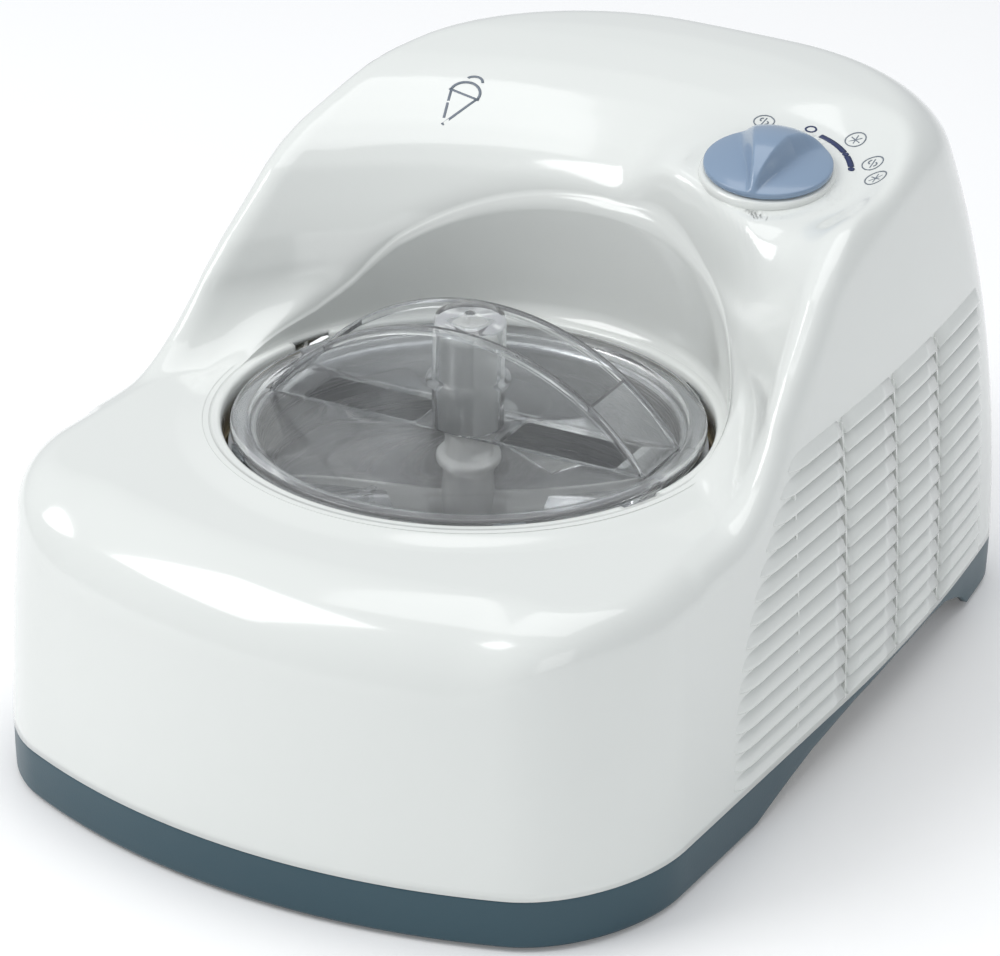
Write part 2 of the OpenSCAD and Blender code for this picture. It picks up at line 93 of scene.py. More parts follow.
def hood_radius(z):
    """Radius of the concave hood face at height z, about the axis x 0, y -90."""
    return np.interp(z, [100, 127, 145, 156, 167, 176, 183, 190, 197, 203, 208, 213, 218, 221, 224],
                     [131.5, 132.8, 134.8, 137, 141.2, 146, 150, 154, 160, 168, 178, 190, 207, 230, 275])


def ridge_height(y):
    """Height of the hood's side ridge, seen square on from the side."""
    return np.interp(y, [-125, -106, -97.6, -85, -71.3, -56, -39.6, -8, 34.2, 76.4, 113.4, 205],
                     [70, 112, 127, 143.5, 156.7, 167.5, 177.1, 193.7, 209.5, 219.5, 224, 226])


def body_field(x, y, z):
    """Distance outside the moulding before the scoop and bowl opening are taken out."""
    reach = np.hypot(x, y + 90)
    crown = z - (223.2 - 2.5 * (x / 110) ** 2 - 3.5 * (np.maximum(y - 120, 0) / 75) ** 2)
    hood = blend_max((hood_radius(z) - reach) * 0.75, crown, 6.0)
    hood = blend_max(hood, (z - ridge_height(y)) * 0.75, 4.0)
    rho = np.hypot(x, y - bowl_y)
    collar = 2.6 * (1 - smooth(99.5, 114, rho))
    top = blend_min(hood, z - deck_height - collar, 5.0 + 23.0 * smooth(-75, -20, y))
    bow = (1 - smooth(-165, -100, y)) * (1 - smooth(80, 128, np.abs(x)))
    edge = 14.0 + 18.0 * bow + 4.0 * smooth(60, 160, y)
    return blend_max(wall_field(x, y, z), top, edge)


def march(px, py, pz, dx, dy, dz, far, steps=34):
    """Distance along each ray at which it leaves the moulding."""
    near_t = np.zeros_like(px)
    far_t = np.full_like(px, far)
    for _ in range(steps):
        mid = (near_t + far_t) / 2
        inside = body_field(px + dx * mid, py + dy * mid, pz + dz * mid) < 0
        near_t = np.where(inside, mid, near_t)
        far_t = np.where(inside, far_t, mid)
    return (near_t + far_t) / 2


def surface_height(x, y):
    """Height of the housing's upper surface over a plan position."""
    x, y = np.broadcast_arrays(np.asarray(x, float), np.asarray(y, float))
    start = np.full(x.shape, 100.0)
    return start + march(x.astype(float), y.astype(float), start, 0.0, 0.0, 1.0, 140.0)


def make_piece(name, verts, faces, material=None, flat=False, recalc=False):
    """A mesh object at the origin from points in millimetres."""
    mesh = bpy.data.meshes.new(name)
    mesh.from_pydata([tuple(v) for v in np.asarray(verts, float) * MM], [], faces)
    mesh.validate()
    if recalc:
        bm = bmesh.new()
        bm.from_mesh(mesh)
        bmesh.ops.remove_doubles(bm, verts=bm.verts, dist=1e-6)
        bmesh.ops.recalc_face_normals(bm, faces=bm.faces)
        bm.to_mesh(mesh)
        bm.free()
    if not flat:
        mesh.shade_smooth()
    piece = bpy.data.objects.new(name, mesh)
    bpy.context.collection.objects.link(piece)
    if material:
        mesh.materials.append(material)
    return piece


def grid_faces(rows, cols, wrap=True, flip=False):
    """Quads of a grid whose columns may close on themselves."""
    faces = []
    last = cols if wrap else cols - 1
    for i in range(rows - 1):
        for j in range(last):
            k = (j + 1) % cols
            quad = (i * cols + j, (i + 1) * cols + j, (i + 1) * cols + k, i * cols + k)
            faces.append(quad[::-1] if flip else quad)
    return faces


def revolve(profile, cols, cy=bowl_y, cx=0.0, closed=True):
    """Points and quads of a profile [(radius, z)] turned about an upright axis, outward for a
    profile drawn clockwise in (radius, z)."""
    angles = np.linspace(0, 2 * np.pi, cols, endpoint=False)
    verts = [(cx + r * np.cos(a), cy + r * np.sin(a), z) for r, z in profile for a in angles]
    faces = grid_faces(len(profile), cols)
    if closed:
        base = (len(profile) - 1) * cols
        for j in range(cols):
            k = (j + 1) % cols
            faces.append((base + j, j, k, base + k))
    return verts, faces


def plain_copy(piece):
    """Bakes a piece's modifiers into its mesh."""
    graph = bpy.context.evaluated_depsgraph_get()
    mesh = bpy.data.meshes.new_from_object(piece.evaluated_get(graph))
    piece.modifiers.clear()
    piece.data = mesh
    return piece


def node(tree, kind, at=(0, 0), **values):
    """Adds a node and sets its properties and the defaults of its inputs."""
    made = tree.nodes.new(kind)
    made.location = at
    for key, value in values.items():
        if hasattr(made, key):
            setattr(made, key, value)
        else:
            made.inputs[key.replace("_", " ")].default_value = value
    return made


def new_group(name, inputs, outputs):
    """A shader node group with named float or colour sockets."""
    group = bpy.data.node_groups.new(name, "ShaderNodeTree")
    for label, kind, value in inputs:
        socket = group.interface.new_socket(label, in_out="INPUT", socket_type=kind)
        if value is not None:
            socket.default_value = value
    for label, kind in outputs:
        group.interface.new_socket(label, in_out="OUTPUT", socket_type=kind)
    return group


def moulded_finish_group():
    """Faint mottling, handling haze and moulding grain shared by the plastics."""
    g = new_group("moulded_finish",
                  [("Base", "NodeSocketColor", (1, 1, 1, 1)), ("Shade", "NodeSocketColor", (0, 0, 0, 1)),
                   ("Mottle", "NodeSocketFloat", 0.2), ("Gloss", "NodeSocketFloat", 0.1),
                   ("Haze", "NodeSocketFloat", 0.1), ("Grain size", "NodeSocketFloat", 900.0)],
                  [("Color", "NodeSocketColor"), ("Roughness", "NodeSocketFloat"),
                   ("Height", "NodeSocketFloat")])
    link = g.links.new
    source = node(g, "NodeGroupInput", (-900, 0))
    sink = node(g, "NodeGroupOutput", (600, 0))
    place = node(g, "ShaderNodeTexCoord", (-900, -300))
    broad = node(g, "ShaderNodeTexNoise", (-600, 100), Scale=9.0, Detail=3.0)
    smear = node(g, "ShaderNodeTexNoise", (-600, -150), Scale=38.0, Detail=5.0)
    grain = node(g, "ShaderNodeTexNoise", (-600, -400), Detail=2.0)
    for tex in (broad, smear, grain):
        link(place.outputs["Object"], tex.inputs["Vector"])
    link(source.outputs["Grain size"], grain.inputs["Scale"])
    amount = node(g, "ShaderNodeMath", (-350, 100), operation="MULTIPLY")
    link(broad.outputs["Fac"], amount.inputs[0])
    link(source.outputs["Mottle"], amount.inputs[1])
    mix = node(g, "ShaderNodeMix", (-100, 100), data_type="RGBA")
    link(amount.outputs[0], mix.inputs["Factor"])
    link(source.outputs["Base"], mix.inputs["A"])
    link(source.outputs["Shade"], mix.inputs["B"])
    haze = node(g, "ShaderNodeMath", (-350, -150), operation="MULTIPLY_ADD")
    link(smear.outputs["Fac"], haze.inputs[0])
    link(source.outputs["Haze"], haze.inputs[1])
    link(source.outputs["Gloss"], haze.inputs[2])
    link(mix.outputs["Result"], sink.inputs["Color"])
    link(haze.outputs[0], sink.inputs["Roughness"])
    link(grain.outputs["Fac"], sink.inputs["Height"])
    return g


moulded_finish = moulded_finish_group()


def shader(name):
    """A new node material and its Principled shader."""
    material = bpy.data.materials.new(name)
    material.use_nodes = True
    return material, material.node_tree, material.node_tree.nodes["Principled BSDF"]


def moulded_plastic(name, base, shade, gloss=0.1, haze=0.08, mottle=0.5, grain=900.0, bump=0.02, coat=0.0):
    """Moulded plastic: colour drift, handling haze and fine grain."""
    material, tree, skin = shader(name)
    finish = node(tree, "ShaderNodeGroup", (-500, 0), node_tree=moulded_finish)
    finish.inputs["Base"].default_value = (*base, 1)
    finish.inputs["Shade"].default_value = (*shade, 1)
    finish.inputs["Mottle"].default_value = mottle
    finish.inputs["Gloss"].default_value = gloss
    finish.inputs["Haze"].default_value = haze
    finish.inputs["Grain size"].default_value = grain
    relief = node(tree, "ShaderNodeBump", (-250, -250), Strength=bump, Distance=0.0004)
    tree.links.new(finish.outputs["Color"], skin.inputs["Base Color"])
    tree.links.new(finish.outputs["Roughness"], skin.inputs["Roughness"])
    tree.links.new(finish.outputs["Height"], relief.inputs["Height"])
    tree.links.new(relief.outputs["Normal"], skin.inputs["Normal"])
    skin.inputs["Coat Weight"].default_value = coat
    skin.inputs["Coat Roughness"].default_value = 0.04
    return material


white_gloss = moulded_plastic("white_gloss_plastic", (0.78, 0.80, 0.775), (0.72, 0.745, 0.72),
                              gloss=0.10, haze=0.07, mottle=0.6, grain=260.0, bump=0.03, coat=0.35)

# The shell is laid out on half planes that turn about the bowl axis: the bowl opening and its
# raised collar, the scoop wall, then the upper surface in even steps and the walls to the band.
columns = 288
top_rows = 112
wall_rows = 10
turn = np.linspace(0, 2 * np.pi, columns, endpoint=False)
cos_t = np.cos(turn)
sin_t = np.sin(turn)
foot_z = 60.0
axis_x = scoop_radius * cos_t
axis_y = bowl_y + scoop_radius * sin_t
foot_reach = march(axis_x, axis_y, np.full(columns, foot_z), cos_t, sin_t, 0.0, 260.0)
near = np.linspace(0, 1, 520)
fine = np.unique(np.concatenate([near, 1 - 0.15 * (1 - near) ** 3]))[:, None]
away = foot_reach * np.minimum(fine, 0.99995)
rise = foot_z + march(axis_x + away * cos_t, axis_y + away * sin_t, np.full(away.shape, foot_z),
                      0.0, 0.0, 1.0, 180.0)
rim_height = rise[0]
rim_round = 4.0 * np.clip((rim_height - 131) / 12, 0, 1)
inner = np.clip(rim_round - away, 0, None)
rise = rise - (rim_round - np.sqrt(np.maximum(rim_round ** 2 - inner ** 2, 0)))
rows = []
for radius, height in [(95.0, 116.0), (95.0, 126.0), (95.15, 128.4), (95.8, 129.3), (96.8, 129.65),
                       (98.3, 129.6)]:
    rows.append((radius * np.ones(columns), np.minimum(height, rim_height + 0.02)))
for k in range(9):
    t = k / 8
    foot = np.minimum(129.6, rim_height - 0.02)
    base_round = np.minimum(2.0, (rim_height - rim_round - foot) * 0.4)
    climb = foot + (rim_height - rim_round - foot) * t
    tuck = np.where(climb - foot < base_round, base_round - (climb - foot), 0) * 0.5
    rows.append((scoop_radius - np.maximum(tuck, 0) * 0.6, climb))
stretch = np.hypot(np.diff(away, axis=0), np.diff(rise, axis=0))
length = np.vstack([np.zeros(columns), np.cumsum(stretch, axis=0)])
for share in np.linspace(0, 1, top_rows):
    reach = [np.interp(share * length[-1, j], length[:, j], away[:, j]) for j in range(columns)]
    height = [np.interp(share * length[-1, j], length[:, j], rise[:, j]) for j in range(columns)]
    rows.append((scoop_radius + np.array(reach), np.array(height)))
for k in range(1, wall_rows + 1):
    level = np.full(columns, foot_z + (band_top - foot_z) * k / wall_rows)
    reach = march(axis_x + 0.0, axis_y + 0.0, level, cos_t, sin_t, 0.0, 260.0)
    rows.append((scoop_radius + reach, level))
shell_points = [(r[j] * cos_t[j], bowl_y + r[j] * sin_t[j], h[j])
                for r, h in rows for j in range(columns)]


def slat_front(z):
    """Where each grille slat begins, in y: the ends follow the sweep of the hood's edge."""
    return -81.3 + 0.005 * np.maximum(z - 40, 0) ** 2


grille_rear = 155.6
shell_faces = []
for quad in grid_faces(len(rows), columns, flip=True):
    x, y, z = np.mean([shell_points[i] for i in quad], axis=0)
    behind_slats = slat_front(z) + 14 < y < grille_rear - 6 and 29 < z < 137
    if behind_slats and abs(x) > 112 and wall_field(x, y, z) > -2:
        continue
    if any(abs(math.atan2(y - bowl_y, x) - math.radians(a)) < math.radians(5.6) for a in (162, -18)):
        if np.hypot(x, y - bowl_y) < 98.2:
            continue
    shell_faces.append(quad[::-1])
housing = make_piece("housing", shell_points, shell_faces, white_gloss)
wall = housing.modifiers.new("wall", "SOLIDIFY")
wall.thickness = 2.4 * MM
wall.offset = -1
plain_copy(housing)
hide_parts("housing_shell", "bowl_collar")
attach(housing, "chassis")

# --- Side grilles ----------------------------------------------------------
# Fifteen louvre slats a side, moulded like shutters: each face slopes out over the slat below.
# Their front ends rise out of the wall as rounded lids, and three ribs part them.
slat_count = 15
slat_pitch = 7.874
slat_lowest = 29.0
rib_at = (11.0, 58.1, 102.6)
face_line = [(-1.2, 4.1), (-0.2, 3.6), (0.6, 2.6), (1.3, 1.2), (2.0, -0.6), (2.3, -1.5), (2.25, -2.3),
             (1.8, -2.75), (1.1, -2.6), (-0.6, -1.6), (-2.6, -0.4), (-3.0, 1.4), (-2.6, 3.9)]


def slat_template():
    """One slat in four lengths, with the pull of its front end stored as 'follow'."""
    verts, faces, follow = [], [], []
    spans = [(-81.3, rib_at[0] - 3.0), (rib_at[0] + 0.6, rib_at[1] - 3.0),
             (rib_at[1] + 0.6, rib_at[2] - 3.0), (rib_at[2] + 0.6, grille_rear)]
    for number, (y0, y1) in enumerate(spans):
        head = 13.0 if number == 0 else 0.0
        stations = [y0 + head * (k / 9) ** 1.5 for k in range(9)] if head else []
        stations += list(np.linspace(y0 + head, y1, 9 if number == 0 else 5))
        if number == 3:
            stations = list(np.linspace(y0, y1 - 4, 4)) + [y1 - 2.2, y1 - 0.8, y1]
        start = len(verts)
        for y in stations:
            t = min(max((y - y0) / head, 0), 1) if head else 1.0
            swell = math.sqrt(1 - (1 - t) ** 2)
            if number == 3:
                swell = math.sqrt(max(1 - max((y - y1 + 4) / 4, 0) ** 2, 0.0))
            for out, up in face_line:
                rise = -0.9 + (out + 0.9) * swell if out > -0.9 else out
                drop = up if up > 0 else up * (0.35 + 0.65 * swell)
                verts.append((rise, y, drop))
                near = 1.0 if y <= y0 + head else (y1 - y) / (y1 - y0 - head)
                follow.append(near if number == 0 else 0.0)
        loop = len(face_line)
        for i in range(len(stations) - 1):
            for j in range(loop):
                k = (j + 1) % loop
                a = start + i * loop
                faces.append((a + j, a + k, a + loop + k, a + loop + j))
        faces.append(tuple(start + j for j in range(loop))[::-1])
        faces.append(tuple(start + (len(stations) - 1) * loop + j for j in range(loop)))
    piece = make_piece("grille_slats", verts, faces, recalc=True)
    pull = piece.data.attributes.new("follow", "FLOAT", "POINT")
    for i, value in enumerate(follow):
        pull.data[i].value = value
    return piece


def slat_tree():
    """Stacks the slat and presses every copy onto the leaning, drawn-in wall."""
    tree = bpy.data.node_groups.new("stack_slats_on_wall", "GeometryNodeTree")
    face = tree.interface
    face.new_socket("Geometry", in_out="INPUT", socket_type="NodeSocketGeometry")
    for label, kind in (("Slats", "NodeSocketInt"), ("Pitch", "NodeSocketFloat"),
                        ("Lowest slat", "NodeSocketFloat"), ("Half width", "NodeSocketFloat"),
                        ("Finish", "NodeSocketMaterial")):
        face.new_socket(label, in_out="INPUT", socket_type=kind)
    face.new_socket("Geometry", in_out="OUTPUT", socket_type="NodeSocketGeometry")
    link = tree.links.new
    source = node(tree, "NodeGroupInput")
    sink = node(tree, "NodeGroupOutput")
    step = node(tree, "ShaderNodeCombineXYZ")
    link(source.outputs["Pitch"], step.inputs["Z"])
    first = node(tree, "ShaderNodeCombineXYZ")
    link(source.outputs["Lowest slat"], first.inputs["Z"])
    column = node(tree, "GeometryNodeMeshLine")
    link(source.outputs["Slats"], column.inputs["Count"])
    link(first.outputs[0], column.inputs["Start Location"])
    link(step.outputs[0], column.inputs["Offset"])
    copies = node(tree, "GeometryNodeInstanceOnPoints")
    link(column.outputs["Mesh"], copies.inputs["Points"])
    link(source.outputs["Geometry"], copies.inputs["Instance"])
    real = node(tree, "GeometryNodeRealizeInstances")
    link(copies.outputs[0], real.inputs[0])
    where = node(tree, "GeometryNodeInputPosition")
    split = node(tree, "ShaderNodeSeparateXYZ")
    link(where.outputs[0], split.inputs[0])

    def sum_of(operation, a, b):
        made = node(tree, "ShaderNodeMath", operation=operation)
        for slot_number, value in enumerate((a, b)):
            if isinstance(value, (int, float)):
                made.inputs[slot_number].default_value = value
            else:
                link(value, made.inputs[slot_number])
        return made.outputs[0]

    lean = sum_of("MULTIPLY", sum_of("POWER", split.outputs["Z"], 2.0), 9.0 * MM / (150 * MM) ** 2)
    back = sum_of("MAXIMUM", sum_of("SUBTRACT", split.outputs["Y"], 11 * MM), 0.0)
    draw = sum_of("MULTIPLY", sum_of("POWER", back, 2.0), 1 / (2247 * MM))
    shift_x = sum_of("SUBTRACT", sum_of("SUBTRACT", source.outputs["Half width"], lean), draw)
    above = sum_of("MAXIMUM", sum_of("SUBTRACT", split.outputs["Z"], 40 * MM), 0.0)
    sweep = sum_of("MULTIPLY", sum_of("POWER", above, 2.0), 0.005 / MM)
    pull = node(tree, "GeometryNodeInputNamedAttribute", data_type="FLOAT", Name="follow")
    shift_y = sum_of("MULTIPLY", sweep, pull.outputs["Attribute"])
    offset = node(tree, "ShaderNodeCombineXYZ")
    link(shift_x, offset.inputs["X"])
    link(shift_y, offset.inputs["Y"])
    place = node(tree, "GeometryNodeSetPosition")
    link(real.outputs[0], place.inputs["Geometry"])
    link(offset.outputs[0], place.inputs["Offset"])
    paint = node(tree, "GeometryNodeSetMaterial")
    link(place.outputs[0], paint.inputs["Geometry"])
    link(source.outputs["Finish"], paint.inputs["Material"])
    link(paint.outputs[0], sink.inputs["Geometry"])
    return tree


def run_tree(piece, tree, **values):
    """Runs a geometry tree on a piece with named inputs and keeps the plain result."""
    step = piece.modifiers.new(tree.name, "NODES")
    step.node_group = tree
    sockets = {s.name: s.identifier for s in tree.interface.items_tree
               if s.item_type == "SOCKET" and s.in_out == "INPUT"}
    for label, value in values.items():
        step[sockets[label.replace("_", " ")]] = value
    plain_copy(piece)
    piece.data.shade_smooth()
    return piece


grille_right = slat_template()
grille_right.name = "grille_slats_right"
run_tree(grille_right, slat_tree(), Slats=slat_count, Pitch=slat_pitch * MM,
         Lowest_slat=slat_lowest * MM, Half_width=half_width * MM, Finish=white_gloss)


def mirrored(piece, name):
    """A left-hand copy of a right-hand piece, faces turned outward again."""
    mesh = piece.data.copy()
    mesh.transform(Matrix.Diagonal((-1, 1, 1, 1)))
    mesh.flip_normals()
    twin = bpy.data.objects.new(name, mesh)
    bpy.context.collection.objects.link(twin)
    return twin


def rib_strip(side):
    """The upright ribs that part the slats, set just behind their faces."""
    verts, faces = [], []
    for y0, y1 in [(y - 0.6, y + 0.6) for y in rib_at] + [(-30.6, -29.4)]:
        start = len(verts)
        levels = np.linspace(24.5, 141.0 if y0 > -20 else 133.0, 14)
        for z in levels:
            x = half_width - side_draw(y0) - side_draft(z)
            for out, y in ((0.9, y0), (0.9, y1), (-3.2, y1), (-3.2, y0)):
                verts.append((side * (x + out), y, z))
        for i in range(len(levels) - 1):
            a = start + i * 4
            for j in range(4):
                k = (j + 1) % 4
                faces.append((a + j, a + k, a + 4 + k, a + 4 + j))
        faces.append((start, start + 1, start + 2, start + 3))
        faces.append(tuple(start + (len(levels) - 1) * 4 + j for j in range(4)))
    return verts, faces


grille_left = mirrored(grille_right, "grille_slats_left")
for piece, side, cad in ((grille_right, 1, "grille_right"), (grille_left, -1, "grille_left")):
    ribs = make_piece("grille_ribs_" + cad.split("_")[1], *rib_strip(side), white_gloss,
                      flat=True, recalc=True)
    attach(ribs, "chassis")
    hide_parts(cad)
    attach(piece, "chassis")

# --- Base tray -------------------------------------------------------------
# A teal satin moulding that carries everything. Its skirt arches up between the front and rear
# foot blocks on each side so that a hand can get under the machine.
teal_plastic = moulded_plastic("teal_base_plastic", (0.028, 0.075, 0.100), (0.018, 0.055, 0.078),
                               gloss=0.30, haze=0.12, mottle=0.7, grain=1300.0, bump=0.10)
arch_line = [(-60, 1.6), (-57, 2.2), (-47.8, 4.6), (-30, 9), (-13, 12.6), (23, 17.2), (61, 19.2),
             (100, 19.4), (119, 17.4), (136, 11.5), (143, 8), (150, 2.2), (152, 1.6)]


def outline(z, inset):
    """The base outline at height z, found on rays from the footprint's centre."""
    rays = np.linspace(0, 2 * np.pi, 420, endpoint=False)
    near_t, far_t = np.zeros(420), np.full(420, 300.0)
    for _ in range(34):
        mid = (near_t + far_t) / 2
        inside = wall_field(mid * np.cos(rays), mid * np.sin(rays), np.full(420, z)) + inset < 0
        near_t, far_t = np.where(inside, mid, near_t), np.where(inside, far_t, mid)
    return np.stack([near_t * np.cos(rays), near_t * np.sin(rays)], 1)


levels = [(21.3, 3.6), (21.3, 0.7), (21.0, 0.35), (20.0, 0.3), (11.0, 0.55), (3.0, 0.9), (1.9, 1.4),
          (1.9, 3.6), (8.0, 3.6), (21.2, 3.7)]
skirt_points = []
for z, inset in levels:
    ring = outline(z, inset)
    for x, y in ring:
        low = np.interp(y, *zip(*arch_line)) if abs(x) > 100 else 1.9
        low = max(low, 1.9)
        skirt_points.append((x, y, low + (z - 1.9) * (21.3 - low) / (21.3 - 1.9)))
skirt = make_piece("base_skirt", skirt_points, grid_faces(len(levels), 420), teal_plastic, recalc=True)
skirt.modifiers.new("edges", "WEIGHTED_NORMAL").keep_sharp = True
plain_copy(skirt)
floor_ring = outline(4.0, 13.0)
floor_ring[:, 0] = np.clip(floor_ring[:, 0], -122, 122)
pan_points = [(x, y, z) for z in (2.2, 4.8) for x, y in floor_ring]
pan_faces = grid_faces(2, 420) + [tuple(range(420)), tuple(range(420, 840))[::-1]]
pan = make_piece("base_pan", pan_points, pan_faces, teal_plastic, flat=True, recalc=True)
for piece in (skirt, pan):
    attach(piece, "chassis")
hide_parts("base_tray")

# --- Feet and screws -------------------------------------------------------
# Black rubber feet under the four corners, and the countersunk cross-head screws that hold the
# tray. One screw on each side sits low in the skirt, in a round pocket.
black_rubber = moulded_plastic("black_rubber", (0.018, 0.018, 0.018), (0.03, 0.03, 0.03),
                               gloss=0.65, haze=0.2, mottle=0.8, grain=1600.0, bump=0.25)


def steel_group():
    """Fine drawn or brushed lines along one object axis, as height, tone and roughness."""
    g = new_group("brushed_lines",
                  [("Base", "NodeSocketColor", (0.6, 0.6, 0.6, 1)),
                   ("Dark", "NodeSocketColor", (0.3, 0.3, 0.3, 1)),
                   ("Across", "NodeSocketVector", (6.0, 6.0, 900.0)), ("Roughness", "NodeSocketFloat", 0.25),
                   ("Spread", "NodeSocketFloat", 0.15)],
                  [("Color", "NodeSocketColor"), ("Roughness", "NodeSocketFloat"),
                   ("Height", "NodeSocketFloat")])
    link = g.links.new
    source = node(g, "NodeGroupInput")
    sink = node(g, "NodeGroupOutput")
    place = node(g, "ShaderNodeTexCoord")
    stretch = node(g, "ShaderNodeVectorMath", operation="MULTIPLY")
    link(place.outputs["Object"], stretch.inputs[0])
    link(source.outputs["Across"], stretch.inputs[1])
    lines = node(g, "ShaderNodeTexNoise", Scale=1.0, Detail=4.0, Roughness=0.7)
    link(stretch.outputs[0], lines.inputs["Vector"])
    tone = node(g, "ShaderNodeMix", data_type="RGBA")
    link(lines.outputs["Fac"], tone.inputs["Factor"])
    link(source.outputs["Dark"], tone.inputs["A"])
    link(source.outputs["Base"], tone.inputs["B"])
    rough = node(g, "ShaderNodeMath", operation="MULTIPLY_ADD")
    link(lines.outputs["Fac"], rough.inputs[0])
    link(source.outputs["Spread"], rough.inputs[1])
    link(source.outputs["Roughness"], rough.inputs[2])
    link(tone.outputs["Result"], sink.inputs["Color"])
    link(rough.outputs[0], sink.inputs["Roughness"])
    link(lines.outputs["Fac"], sink.inputs["Height"])
    return g


brushed_lines = steel_group()


def metal(name, base, dark, across=(6.0, 6.0, 900.0), rough=0.2, spread=0.15, bump=0.1):
    """Bare metal with brushed, drawn or turned lines."""
    material, tree, skin = shader(name)
    finish = node(tree, "ShaderNodeGroup", (-500, 0), node_tree=brushed_lines)
    finish.inputs["Base"].default_value = (*base, 1)
    finish.inputs["Dark"].default_value = (*dark, 1)
    finish.inputs["Across"].default_value = across
    finish.inputs["Roughness"].default_value = rough
    finish.inputs["Spread"].default_value = spread
    relief = node(tree, "ShaderNodeBump", (-250, -250), Strength=bump, Distance=0.0003)
    tree.links.new(finish.outputs["Color"], skin.inputs["Base Color"])
    tree.links.new(finish.outputs["Roughness"], skin.inputs["Roughness"])
    tree.links.new(finish.outputs["Height"], relief.inputs["Height"])
    tree.links.new(relief.outputs["Normal"], skin.inputs["Normal"])
    skin.inputs["Metallic"].default_value = 1.0
    return material


zinc_steel = metal("zinc_plated_steel", (0.62, 0.62, 0.60), (0.42, 0.42, 0.41), (60, 60, 60), 0.25, 0.2)


def copy_tree(name):
    """Copies the piece to every point of a second mesh."""
    tree = bpy.data.node_groups.new(name, "GeometryNodeTree")
    face = tree.interface
    face.new_socket("Geometry", in_out="INPUT", socket_type="NodeSocketGeometry")
    face.new_socket("Places", in_out="INPUT", socket_type="NodeSocketObject")
    face.new_socket("Finish", in_out="INPUT", socket_type="NodeSocketMaterial")
    face.new_socket("Geometry", in_out="OUTPUT", socket_type="NodeSocketGeometry")
    link = tree.links.new
    source = node(tree, "NodeGroupInput")
    sink = node(tree, "NodeGroupOutput")
    places = node(tree, "GeometryNodeObjectInfo")
    link(source.outputs["Places"], places.inputs["Object"])
    copies = node(tree, "GeometryNodeInstanceOnPoints")
    link(places.outputs["Geometry"], copies.inputs["Points"])
    link(source.outputs["Geometry"], copies.inputs["Instance"])
    real = node(tree, "GeometryNodeRealizeInstances")
    link(copies.outputs[0], real.inputs[0])
    paint = node(tree, "GeometryNodeSetMaterial")
    link(real.outputs[0], paint.inputs["Geometry"])
    link(source.outputs["Finish"], paint.inputs["Material"])
    link(paint.outputs[0], sink.inputs["Geometry"])
    return tree


place_copies = copy_tree("place_copies")


def copy_to(piece, places, material):
    """Places copies of a piece at points in millimetres and joins them."""
    marks = make_piece("places", places, [])
    run_tree(piece, place_copies, Places=marks, Finish=material)
    bpy.data.objects.remove(marks)
    return piece


foot_places = [(s * x, y, 0) for x, y in ((118, -114), (108, 163)) for s in (1, -1)]
foot_profile = [(0.01, 0.0), (8.6, 0.0), (9.6, 0.3), (10.1, 1.0), (10.9, 2.3), (10.9, 4.5), (0.01, 4.5)]
foot_points, foot_faces = revolve(foot_profile, 36, cy=0, closed=False)
feet = make_piece("rubber_feet_pads", foot_points, foot_faces, recalc=True)
copy_to(feet, foot_places, black_rubber)
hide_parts("rubber_feet")
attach(feet, "chassis")


# --- Knob pad --------------------------------------------------------------
# The hood is flattened in a soft pad under the selector knob, tipped towards the user, so the
# knob's skirt sits close to the moulding all round.
knob_at = Vector((68.0, 75.0, 208.5))
knob_turned = Matrix.Rotation(math.radians(9), 3, Vector((0.9023, 0.4311, 0)))
knob_axes = np.array(knob_turned)


def flatten_pad(points):
    """Draws hood points near the knob onto the knob's seat plane."""
    local = (np.asarray(points, float) - np.array(knob_at)) @ knob_axes
    reach = np.hypot(local[:, 0], local[:, 1])
    seat = -1.7 * (1 - local[:, 1] / np.maximum(reach, 1))
    pull = (1 - smooth(35, 62, reach)) * (1 - smooth(16, 30, np.abs(local[:, 2])))
    local[:, 2] += (seat - local[:, 2]) * pull
    return local @ knob_axes.T + np.array(knob_at)


flat = np.array([v.co for v in housing.data.vertices]) / MM
shift = flatten_pad(flat) - flat
for i, vertex in enumerate(housing.data.vertices):
    vertex.co += Vector(shift[i] * MM)
seat_profile = [(6, -0.1), (25.2, -0.1), (26.4, -0.4), (27.0, -1.2), (27.2, -2.4), (27.2, -8), (6, -8)]
seat_points, seat_faces = revolve(seat_profile, 120, cy=0)
seat_points = np.array(seat_points) @ knob_axes.T + np.array(knob_at)
knob_boss = make_piece("knob_boss", seat_points, seat_faces, white_gloss, recalc=True)
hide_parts("knob_seat")
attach(knob_boss, "chassis")

# --- Cooling well, bushing and seal ----------------------------------------
# A spun aluminium well that the bowl drops into, with a brass bushing for the drive shaft and a
# rubber seal round it. The copper evaporator is bonded outside and buried in a foam jacket.
spun_aluminium = metal("spun_aluminium", (0.74, 0.75, 0.76), (0.52, 0.53, 0.55), (8, 8, 700), 0.28, 0.15)
copper_tube = metal("drawn_copper", (0.72, 0.36, 0.20), (0.42, 0.19, 0.10), (140, 140, 140), 0.22, 0.25)
gear_brass = metal("turned_brass", (0.72, 0.52, 0.22), (0.48, 0.33, 0.13), (30, 30, 600), 0.2, 0.15)
jacket_foam = moulded_plastic("insulation_foam", (0.80, 0.70, 0.48), (0.62, 0.52, 0.33),
                              gloss=0.85, haze=0.1, mottle=0.9, grain=420.0, bump=0.8)


def paint(material, *names):
    """Gives a shown CAD node its finish."""
    for name in names:
        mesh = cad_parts[name].data
        mesh.materials.clear()
        mesh.materials.append(material)


paint(spun_aluminium, "cooling_well", "condenser_fins")
paint(copper_tube, "evaporator_coil", "condenser_tube", "filter_drier", "discharge_line",
      "liquid_line", "capillary_tube", "suction_line")
paint(gear_brass, "output_gear", "shaft_bushing")
paint(jacket_foam, "insulation_jacket")

